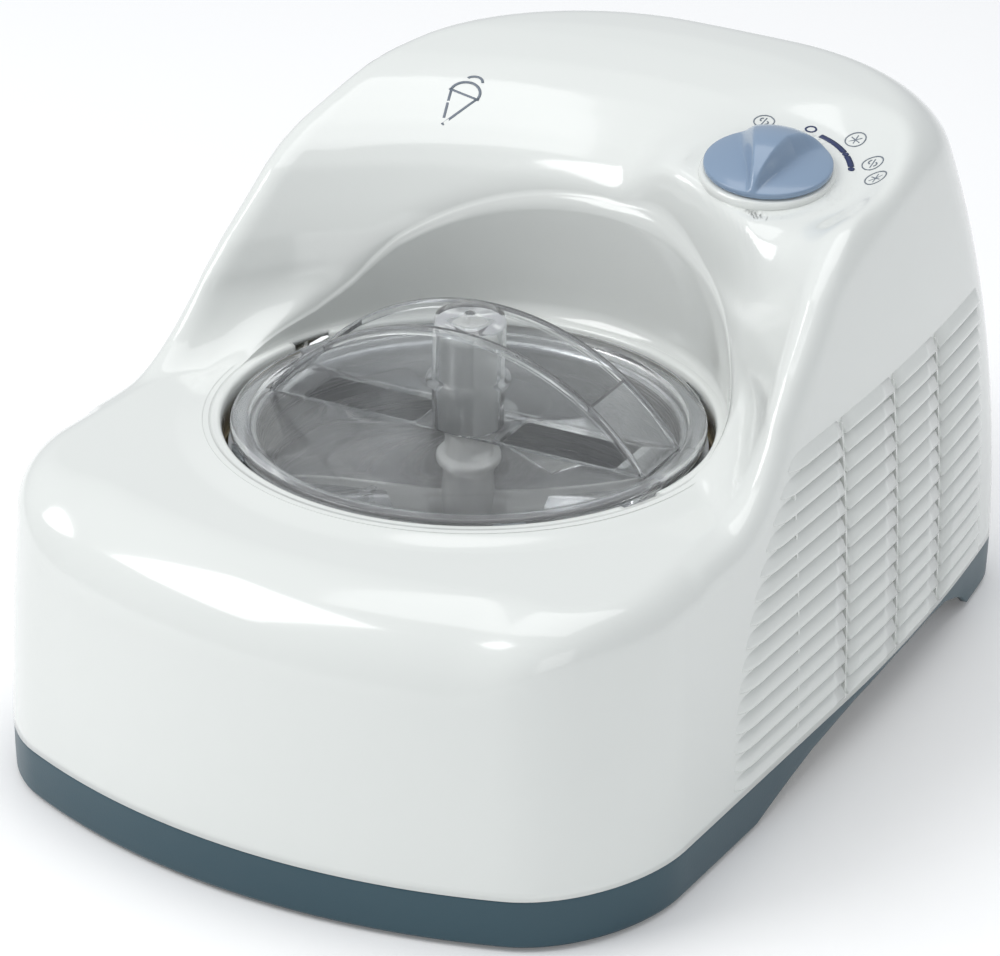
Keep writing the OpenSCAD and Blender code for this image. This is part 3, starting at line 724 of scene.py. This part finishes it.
# --- Drive -----------------------------------------------------------------
# A geared motor beside the bowl turns the shaft through a pinion, an idler and a large brass
# wheel in a flat plastic box. Gears are moulded acetal, shafts are ground steel.
ground_steel = metal("ground_steel", (0.66, 0.67, 0.69), (0.45, 0.46, 0.48), (20, 20, 500), 0.15, 0.12)
gear_plastic = moulded_plastic("acetal_gears", (0.70, 0.68, 0.58), (0.60, 0.57, 0.46),
                               gloss=0.35, haze=0.15, mottle=0.6, grain=700.0, bump=0.08)
motor_can = metal("zinc_motor_can", (0.42, 0.43, 0.45), (0.26, 0.27, 0.29), (45, 45, 90), 0.3, 0.2)
box_plastic = moulded_plastic("gearbox_nylon", (0.55, 0.55, 0.52), (0.43, 0.43, 0.41),
                              gloss=0.45, haze=0.15, mottle=0.7, grain=600.0, bump=0.2)
paint(ground_steel, "drive_shaft", "idler_pin", "motor_shaft", "fan_shaft", "knob_spindle")
paint(gear_plastic, "idler_gear", "motor_pinion")
paint(motor_can, "mixing_motor", "fan_motor")
paint(box_plastic, "gearbox_housing", "gearbox_cover")

# --- Refrigeration ---------------------------------------------------------
# Black enamelled compressor on rubber grommets and a zinc plate, a fan that draws air through
# the finned condenser behind the right grille, and its relay, terminals and brackets.
black_enamel = moulded_plastic("black_enamel", (0.012, 0.012, 0.014), (0.03, 0.03, 0.033),
                               gloss=0.16, haze=0.15, mottle=0.8, grain=240.0, bump=0.35, coat=0.5)
black_plastic = moulded_plastic("black_nylon", (0.02, 0.02, 0.022), (0.035, 0.035, 0.038),
                                gloss=0.42, haze=0.15, mottle=0.8, grain=1200.0, bump=0.2)
terminal_plastic = moulded_plastic("terminal_nylon", (0.72, 0.71, 0.64), (0.60, 0.59, 0.52),
                                   gloss=0.4, haze=0.15, mottle=0.7, grain=900.0, bump=0.15)
paint(black_enamel, "compressor")
paint(black_rubber, "compressor_grommets", "shaft_seal", "rubber_feet")
paint(black_plastic, "compressor_relay", "cable_gland", "selector_switch", "fan_blade")
paint(terminal_plastic, "terminal_block")
paint(zinc_steel, "base_screws", "compressor_plate", "compressor_stem", "condenser_frame",
      "fan_bracket", "switch_bracket")
paint(white_gloss, "screw_bosses")

# --- Removable bowl --------------------------------------------------------
# Deep-drawn stainless bowl with a rolled rim and a centre tube for the shaft. Two steel
# tabs on the rim are what the fingers lift it by.
bowl_steel = metal("brushed_bowl_steel", (0.72, 0.72, 0.72), (0.40, 0.41, 0.42), (3, 3, 1500),
                   0.18, 0.16, 0.06)
tab_steel = metal("tab_steel", (0.42, 0.43, 0.45), (0.28, 0.29, 0.31), (500, 40, 40), 0.25, 0.2)
bowl_profile = [(4.5, 36.7), (70, 36.6), (77, 36.7), (81, 38.2), (82.8, 41.8), (83, 46), (83, 119),
                (83.4, 121.4), (84.6, 122.5), (89.6, 122.6), (90.6, 122.9), (91, 123.6),
                (90.6, 124.3), (89.6, 124.6), (84, 124.6), (82.2, 124.1), (81.5, 122.6),
                (81.5, 119), (81.5, 46), (81.2, 42), (79.6, 39.4), (76, 38.1), (12, 38),
                (8.6, 38.4), (7.6, 39.6), (7.5, 42), (7.5, 64.8), (7.1, 65.8), (6.2, 66), (5, 66),
                (4.5, 65.6)]
bowl_points, bowl_faces = revolve(bowl_profile, 160)
bowl = make_piece("bowl_shell", bowl_points, bowl_faces, bowl_steel, recalc=True)
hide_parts("removable_bowl")
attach(bowl, "bowl")


def rounded_plate(half_x, half_y, z0, z1, corner, steps=6):
    """A plate with rounded corners and eased edges, centred on the origin."""
    ring = []
    for k, (sx, sy) in enumerate([(1, 1), (-1, 1), (-1, -1), (1, -1)]):
        for j in range(steps + 1):
            a = math.radians(90 * k + 90 * j / steps)
            ring.append((sx * (half_x - corner), sy * (half_y - corner), math.cos(a), math.sin(a)))
    ease = min(0.35, (z1 - z0) / 3)
    verts = []
    for z, inset in ((z0, ease), (z0 + ease, 0), (z1 - ease, 0), (z1, ease)):
        verts += [(x + (corner - inset) * c, y + (corner - inset) * s, z) for x, y, c, s in ring]
    n = len(ring)
    return verts, grid_faces(4, n) + [tuple(range(n)), tuple(range(3 * n, 4 * n))]


tab_points, tab_faces = [], []
for angle in (162, -18):
    for half_x, half_y, z0, z1, at in ((3.4, 8.0, 122.8, 124.4, 93.8), (1.0, 6.6, 121.6, 124.9, 96.1)):
        points, faces = rounded_plate(half_x, half_y, z0, z1, min(half_x, half_y) * 0.7)
        a = math.radians(angle)
        base = len(tab_points)
        for x, y, z in points:
            x += at
            tab_points.append((x * math.cos(a) - y * math.sin(a),
                               bowl_y + x * math.sin(a) + y * math.cos(a), z))
        tab_faces += [tuple(base + i for i in face) for face in faces]
tabs = make_piece("bowl_lift_tabs", tab_points, tab_faces, tab_steel, flat=True, recalc=True)
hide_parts("bowl_tabs")
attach(tabs, "bowl")

# --- Paddle ----------------------------------------------------------------
# One white acetal moulding: a tall column over the drive shaft with a collar, and two curved
# scraper blades with open centres.
paddle_white = moulded_plastic("paddle_acetal", (0.74, 0.75, 0.72), (0.66, 0.67, 0.64),
                               gloss=0.32, haze=0.12, mottle=0.6, grain=800.0, bump=0.08)
column_profile = [(8.1, 39.4), (9.9, 39.2), (10.5, 39.8), (10.5, 103), (11.2, 103.8), (13.4, 104),
                  (14, 104.6), (14, 106.3), (13.4, 107), (11.2, 107.2), (10.5, 108), (10.5, 162),
                  (10.0, 163.6), (8.6, 164.2), (0.6, 164.2), (0.5, 150), (0.5, 80), (4.4, 80),
                  (4.4, 69), (5.5, 68), (8.1, 67)]
column_points, column_faces = revolve(column_profile, 72)
column = make_piece("paddle_centre_column", column_points, column_faces, paddle_white, recalc=True)
blade_points, blade_faces = [], []


def blade_bar(turned, r0, r1, z0, z1, thick=3.0, steps=14):
    """A bar of a curved blade, from radius r0 to r1 and z0 to z1."""
    base = len(blade_points)
    for k in range(steps + 1):
        r = r0 + (r1 - r0) * k / steps
        a = turned + 0.16 * ((r - 10) / 68) ** 2
        half = thick / 2 * (1 - 0.35 * (r - 10) / 68)
        for side, z in ((-1, z0 + 0.5), (-0.7, z0), (0.7, z0), (1, z0 + 0.5),
                        (1, z1 - 0.5), (0.7, z1), (-0.7, z1), (-1, z1 - 0.5)):
            x, y = r, side * half
            blade_points.append((x * math.cos(a) - y * math.sin(a),
                                 bowl_y + x * math.sin(a) + y * math.cos(a), z))
    for k in range(steps):
        for j in range(8):
            m = (j + 1) % 8
            near_end = base + 8 * k
            blade_faces.append((near_end + j, near_end + m, near_end + 8 + m, near_end + 8 + j))
    blade_faces.append(tuple(base + j for j in range(8)))
    blade_faces.append(tuple(base + 8 * steps + j for j in range(8)))


for turned in (math.radians(24), math.radians(204)):
    blade_bar(turned, 10.0, 77.2, 40.2, 49)
    blade_bar(turned, 10.0, 33, 48.8, 95)
    blade_bar(turned, 68, 77.2, 48.8, 94.5)
    blade_bar(turned, 10.0, 72, 88, 95)
blades = make_piece("paddle_scraper_blades", blade_points, blade_faces, paddle_white, flat=True, recalc=True)
for piece, cad in ((column, "paddle_column"), (blades, "paddle_blades")):
    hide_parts(cad)
    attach(piece, "paddle")

# --- Lid -------------------------------------------------------------------
# Clear acrylic disc with a thicker rim and two pouring openings. Two arched walls and their end
# tabs make the grip over the centre socket, and lugs on the edge catch under the housing.


def clear_material(name, tint, rough=0.03):
    """Clear moulded acrylic with faint flow lines and handling haze."""
    material, tree, skin = shader(name)
    finish = node(tree, "ShaderNodeGroup", (-500, 0), node_tree=moulded_finish)
    finish.inputs["Base"].default_value = (*tint, 1)
    finish.inputs["Shade"].default_value = (tint[0] * 0.93, tint[1] * 0.94, tint[2] * 0.95, 1)
    finish.inputs["Mottle"].default_value = 0.5
    finish.inputs["Gloss"].default_value = rough
    finish.inputs["Haze"].default_value = 0.05
    finish.inputs["Grain size"].default_value = 120.0
    relief = node(tree, "ShaderNodeBump", (-250, -250), Strength=0.03, Distance=0.0005)
    tree.links.new(finish.outputs["Color"], skin.inputs["Base Color"])
    tree.links.new(finish.outputs["Roughness"], skin.inputs["Roughness"])
    tree.links.new(finish.outputs["Height"], relief.inputs["Height"])
    tree.links.new(relief.outputs["Normal"], skin.inputs["Normal"])
    skin.inputs["Metallic"].default_value = 0.0
    skin.inputs["Transmission Weight"].default_value = 0.92
    skin.inputs["IOR"].default_value = 1.36
    return material


clear_acrylic = clear_material("clear_acrylic", (0.955, 0.965, 0.97))
smoke_acrylic = clear_material("smoke_acrylic", (0.62, 0.66, 0.68))
plate_profile = [(90.6, 124.95), (91.4, 125.3), (91.8, 126), (91.8, 128.2), (91.4, 129.0),
                 (90.4, 129.4), (86.4, 129.4), (85.4, 129.1), (84.8, 128.4), (84.5, 127.4),
                 (83.8, 126.95), (60, 126.9), (14, 126.9), (12.2, 126.9), (11.7, 126.4),
                 (11.7, 125.4), (12.2, 124.95), (60, 124.95)]
plate_points, plate_faces = revolve(plate_profile, 144)
plate = make_piece("lid_plate", plate_points, plate_faces, clear_acrylic, recalc=True)
tilt = math.radians(2.5)


def swung(points):
    """Turns lid points a little about the bowl axis, as the bridge sits on the disc."""
    c, s = math.cos(tilt), math.sin(tilt)
    return [(x * c - (y - bowl_y) * s, bowl_y + x * s + (y - bowl_y) * c, z) for x, y, z in points]


for side in (1, -1):
    points, faces = rounded_plate(25.0, 12.6, 120, 134, 2.5)
    points = swung([(x + side * 43, y + bowl_y + 2.5, z) for x, y, z in points])
    hole = make_piece("pour_opening", points, faces, recalc=True)
    cut = plate.modifiers.new("opening", "BOOLEAN")
    cut.operation = "DIFFERENCE"
    cut.object = hole
    plain_copy(plate)
    bpy.data.objects.remove(hole)
plate.data.materials.clear()
plate.data.materials.append(clear_acrylic)

wall_points, wall_faces = [], []


def add_solid(points, faces):
    base = len(wall_points)
    wall_points.extend(points)
    wall_faces.extend(tuple(base + i for i in face) for face in faces)


for y_at in (-12.5, 17.5):
    points = []
    spans = np.linspace(-79.6, 79.6, 72)
    section = [(-1.2, 0), (-1.2, 1), (-1.7, 1), (-1.7, 1), (-1.1, 1), (1.1, 1), (1.7, 1), (1.7, 1),
               (1.2, 1), (1.2, 0)]
    drops = [0, 3.4, 2.6, 1.0, 0, 0, 1.0, 2.6, 3.4, 0]
    for x in spans:
        crest = 69.5 + math.sqrt(100.0 ** 2 - x * x)
        for (across, upper), drop in zip(section, drops):
            z = 126.6 if not upper else max(crest - drop, 126.7 + 0.1 * (4 - drop))
            points.append((x, bowl_y + y_at + across, z))
    loop = len(section)
    faces = []
    for i in range(len(spans) - 1):
        for j in range(loop):
            k = (j + 1) % loop
            faces.append((i * loop + j, i * loop + k, (i + 1) * loop + k, (i + 1) * loop + j))
    faces += [tuple(range(loop)), tuple((len(spans) - 1) * loop + j for j in range(loop))]
    add_solid(swung(points), faces)
for side in (1, -1):
    points = []
    spans = np.linspace(57, 81.5, 14)
    for x in spans:
        crest = 69.5 + math.sqrt(100.0 ** 2 - min(x, 80) ** 2) - 1.0 - 1.2 * max(x - 80, 0)
        for y, lift in ((-12.4, 0), (17.4, 0), (17.4, -1.8), (-12.4, -1.8)):
            points.append((side * x, bowl_y + y, max(crest + lift, 126.8 + (1.9 + lift) * 0.5)))
    faces = []
    for i in range(len(spans) - 1):
        for j in range(4):
            k = (j + 1) % 4
            faces.append((i * 4 + j, i * 4 + k, i * 4 + 4 + k, i * 4 + 4 + j))
    faces += [(0, 1, 2, 3), tuple((len(spans) - 1) * 4 + j for j in range(4))]
    add_solid(swung(points), faces)
arches = make_piece("lid_grip_arches", wall_points, wall_faces, clear_acrylic, flat=True, recalc=True)
socket_profile = [(14, 126.7), (14.0, 142.6), (14.6, 143.6), (16.2, 144.0), (16.5, 145.2),
                  (16.2, 146.6), (14.6, 147.0), (14.0, 148.0), (13.8, 169.4), (13.2, 171.4),
                  (11.6, 172.4), (2.6, 172.4), (2.0, 172.0), (2.0, 168.0), (2.6, 167.4),
                  (10.6, 167.2), (11.6, 166.0), (11.7, 127.2), (12.2, 126.7)]
socket_points, socket_faces = revolve(socket_profile, 72)
socket = make_piece("lid_centre_socket", socket_points, socket_faces, clear_acrylic, recalc=True)
arrow = [(-3.4, 0, 0), (0, -4.6, 0), (3.4, 0, 0), (1.2, 0, 0), (1.2, 5, 0), (-1.2, 5, 0), (-1.2, 0, 0)]
arrow_points = [(x, bowl_y - 74 + y, z) for z in (126.8, 127.4) for x, y, _ in arrow]
arrow_faces = grid_faces(2, 7) + [tuple(range(7)), tuple(range(7, 14))]
mark = make_piece("lid_embossed_arrow", arrow_points, arrow_faces, clear_acrylic,
                  flat=True, recalc=True)
for piece in (plate, arches, socket, mark):
    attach(piece, "lid")
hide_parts("lid_panel")
paint(smoke_acrylic, "lid_lugs")

# --- Selector knob ---------------------------------------------------------
# Blue-grey gloss knob: a dome scooped away on both sides, which leaves a crescent grip that is
# narrow at the front and broad at the back.
knob_plastic = moulded_plastic("knob_plastic", (0.235, 0.325, 0.45), (0.20, 0.28, 0.40),
                               gloss=0.16, haze=0.10, mottle=0.5, grain=900.0, bump=0.03, coat=0.3)
knob_radius = 25.4
knob_points = []
around = 192
turns = np.linspace(0, 2 * np.pi, around, endpoint=False)
radii = np.concatenate([np.linspace(0.02, 22.0, 64), np.linspace(22.3, knob_radius - 0.35, 16)])
for radius, height in ((knob_radius - 1.2, 0.45), (knob_radius - 0.25, 0.7),
                       (knob_radius, 1.2), (knob_radius, 2.6)):
    knob_points += [(radius * np.cos(a), radius * np.sin(a), height) for a in turns]
for radius in radii[::-1]:
    px, py = radius * np.cos(turns), radius * np.sin(turns)
    round_off = np.maximum(1 - (radius / knob_radius) ** 2, 0)
    dome = 2.7 + 11.0 * round_off ** 0.72
    low = 2.7 + 2.4 * round_off ** 0.6
    line_left = 5.0 - 19.6 * (py + 24) / 41.8
    line_right = np.interp(py, [-25, -9, 6, 14, 22.5, 26], [5.6, 4.8, 4.4, 6.2, 10.6, 13])
    slope_left = 2.0 + 6.5 * smooth(-20, 15, py)
    slope_right = 1.6 + 4.6 * smooth(-22, 5, py)
    keep = smooth(0, 1, (px - line_left + slope_left) / slope_left)
    keep = keep * (1 - smooth(0, 1, (px - line_right) / slope_right))
    top = low + (dome - low) * keep
    knob_points += list(zip(px, py, top))
knob_rows = len(knob_points) // around
knob_faces = grid_faces(knob_rows, around) + [tuple(range(around)),
                                              tuple((knob_rows - 1) * around + j for j in range(around))]
knob_world = np.array(knob_points) @ knob_axes.T + np.array(knob_at)
knob = make_piece("selector_knob", knob_world, knob_faces, knob_plastic, recalc=True)
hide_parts("control_knob")
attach(knob, "selector")

# --- Printed marks ---------------------------------------------------------
# Thin pad-printed ink on the hood: round icons for the settings beside the knob, an arc that
# joins them, and a plain cone picture on the left of the hood.
navy_ink = moulded_plastic("navy_ink", (0.012, 0.025, 0.10), (0.02, 0.035, 0.12),
                           gloss=0.3, grain=1800.0, bump=0.1)
grey_ink = moulded_plastic("grey_ink", (0.16, 0.19, 0.23), (0.20, 0.23, 0.27),
                           gloss=0.35, grain=1800.0, bump=0.1)


def arc_band(cx, cy, radius, width, a0=0.0, a1=360.0, steps=40):
    """Quads of an arc-shaped stroke in plan."""
    verts, faces = [], []
    for k in range(steps + 1):
        a = math.radians(a0 + (a1 - a0) * k / steps)
        for r in (radius - width / 2, radius + width / 2):
            verts.append((cx + r * math.cos(a), cy + r * math.sin(a)))
    for k in range(steps):
        faces.append((2 * k, 2 * k + 1, 2 * k + 3, 2 * k + 2))
    return verts, faces


def stroke(x0, y0, x1, y1, width, steps=4):
    """Quads of a straight stroke in plan."""
    d = math.hypot(x1 - x0, y1 - y0)
    nx, ny = -(y1 - y0) / d * width / 2, (x1 - x0) / d * width / 2
    verts, faces = [], []
    for k in range(steps + 1):
        t = k / steps
        x, y = x0 + (x1 - x0) * t, y0 + (y1 - y0) * t
        verts += [(x - nx, y - ny), (x + nx, y + ny)]
    for k in range(steps):
        faces.append((2 * k, 2 * k + 1, 2 * k + 3, 2 * k + 2))
    return verts, faces


def printed(name, shapes, material):
    """Joins plan shapes, lays them on the hood and gives them the thickness of ink."""
    verts, faces = [], []
    for points, quads in shapes:
        faces += [tuple(len(verts) + i for i in quad) for quad in quads]
        verts += points
    plan = np.array(verts)
    lifted = flatten_pad(np.column_stack([plan, surface_height(plan[:, 0], plan[:, 1])]))
    lifted[:, 2] += 0.06
    piece = make_piece(name, lifted, faces, material)
    ink = piece.modifiers.new("ink", "SOLIDIFY")
    ink.thickness = 0.16 * MM
    ink.offset = 1
    plain_copy(piece)
    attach(piece, "chassis")
    return piece


def about_knob(radius, angle):
    a = math.radians(angle)
    return knob_at.x + radius * math.cos(a), knob_at.y + radius * math.sin(a)


navy = [arc_band(knob_at.x, knob_at.y, 32.4, 2.5, a, b) for a, b in ((51, 78), (32, 45.6))]
for angle in (48.3, 29):
    navy.append(arc_band(*about_knob(32.4, angle), 0.7, 1.3, steps=20))
navy.append(arc_band(*about_knob(34.4, 88), 2.1, 0.75, steps=28))
printed("dial_arc", navy, navy_ink)
icons = []
for radius, angle in ((40.3, 59), (42.4, 16)):
    cx, cy = about_knob(radius, angle)
    icons.append(arc_band(cx, cy, 4.1, 0.45))
    for k in range(3):
        a = math.radians(60 * k + 30)
        icons.append(stroke(cx - 2.7 * math.cos(a), cy - 2.7 * math.sin(a),
                            cx + 2.7 * math.cos(a), cy + 2.7 * math.sin(a), 0.5))
for radius, angle in ((40.8, 32), (36.0, 120)):
    cx, cy = about_knob(radius, angle)
    icons.append(arc_band(cx, cy, 4.1, 0.45))
    icons.append(stroke(cx, cy - 2.6, cx, cy + 2.6, 0.6))
    icons.append(arc_band(cx + 0.9, cy - 0.6, 1.1, 0.5, -80, 80, 16))
    icons.append(arc_band(cx - 0.9, cy + 0.9, 1.1, 0.5, 100, 260, 16))
printed("dial_icons", icons, grey_ink)
cone_x, cone_y = -72.0, 78.0
cone = [stroke(cone_x - 6, cone_y, cone_x, cone_y - 17, 1.1),
        stroke(cone_x + 6, cone_y, cone_x, cone_y - 17, 1.1),
        stroke(cone_x - 7, cone_y, cone_x + 7, cone_y, 1.1),
        arc_band(cone_x, cone_y + 0.6, 6.2, 1.1, 0, 180),
        arc_band(cone_x, cone_y + 7.6, 3.6, 1.1, 20, 160)]
printed("hood_picture", cone, grey_ink)

# --- Floor, light and camera -----------------------------------------------
# A plain pale floor under soft studio light from the upper left, seen from in front and a little
# to the right.
floor_white, _, floor_skin = shader("studio_floor")
floor_skin.inputs["Base Color"].default_value = (0.93, 0.93, 0.93, 1)
floor_skin.inputs["Roughness"].default_value = 0.6
floor_skin.inputs["Emission Color"].default_value = (1, 1, 1, 1)
floor_skin.inputs["Emission Strength"].default_value = 0.10
stage_points = [(x, y, -0.05) for y in (-4000, 7000) for x in (-5000, 5000)]
floor = make_piece("studio_floor", stage_points, [(0, 1, 3, 2)], floor_white, flat=True)


def soft_light(name, at, aim, size, power, tall=None):
    """A soft box aimed at a point."""
    data = bpy.data.lights.new(name, "AREA")
    data.energy = power
    data.shape = "RECTANGLE"
    data.size = size
    data.size_y = tall or size
    lamp = bpy.data.objects.new(name, data)
    bpy.context.collection.objects.link(lamp)
    lamp.location = at
    lamp.rotation_euler = (Vector(aim) - Vector(at)).to_track_quat("-Z", "Y").to_euler()
    return lamp


soft_light("key_light", (-1.3, -1.2, 1.9), (0, 0, 0.1), 1.3, 27)
soft_light("top_light", (0.0, 0.3, 2.2), (0, 0, 0.1), 1.8, 17)
soft_light("fill_light", (1.8, -1.6, 0.8), (0, 0, 0.1), 1.2, 5)
world = bpy.data.worlds.new("studio_world")
world.use_nodes = True
world.node_tree.nodes["Background"].inputs["Color"].default_value = (0.93, 0.96, 1.0, 1)
world.node_tree.nodes["Background"].inputs["Strength"].default_value = 0.5
bpy.context.scene.world = world
bpy.context.scene.view_settings.view_transform = "Standard"

lens = bpy.data.cameras.new("camera")
lens.sensor_width = 36
lens.lens = 147.094
lens.shift_x = -0.00568
lens.shift_y = -0.0005
lens.clip_end = 50
camera = bpy.data.objects.new("camera", lens)
bpy.context.collection.objects.link(camera)
right = Vector((0.86275142, 0.50540673, 0.01496713))
upward = Vector((-0.23058423, 0.36692868, 0.90121821))
back = Vector((0.44998988, -0.78097848, 0.43310706))
turn_matrix = Matrix((right, upward, back)).transposed().to_4x4()
camera.matrix_world = Matrix.Translation((0.724586, -1.265514, 0.788384)) @ turn_matrix
bpy.context.scene.camera = camera
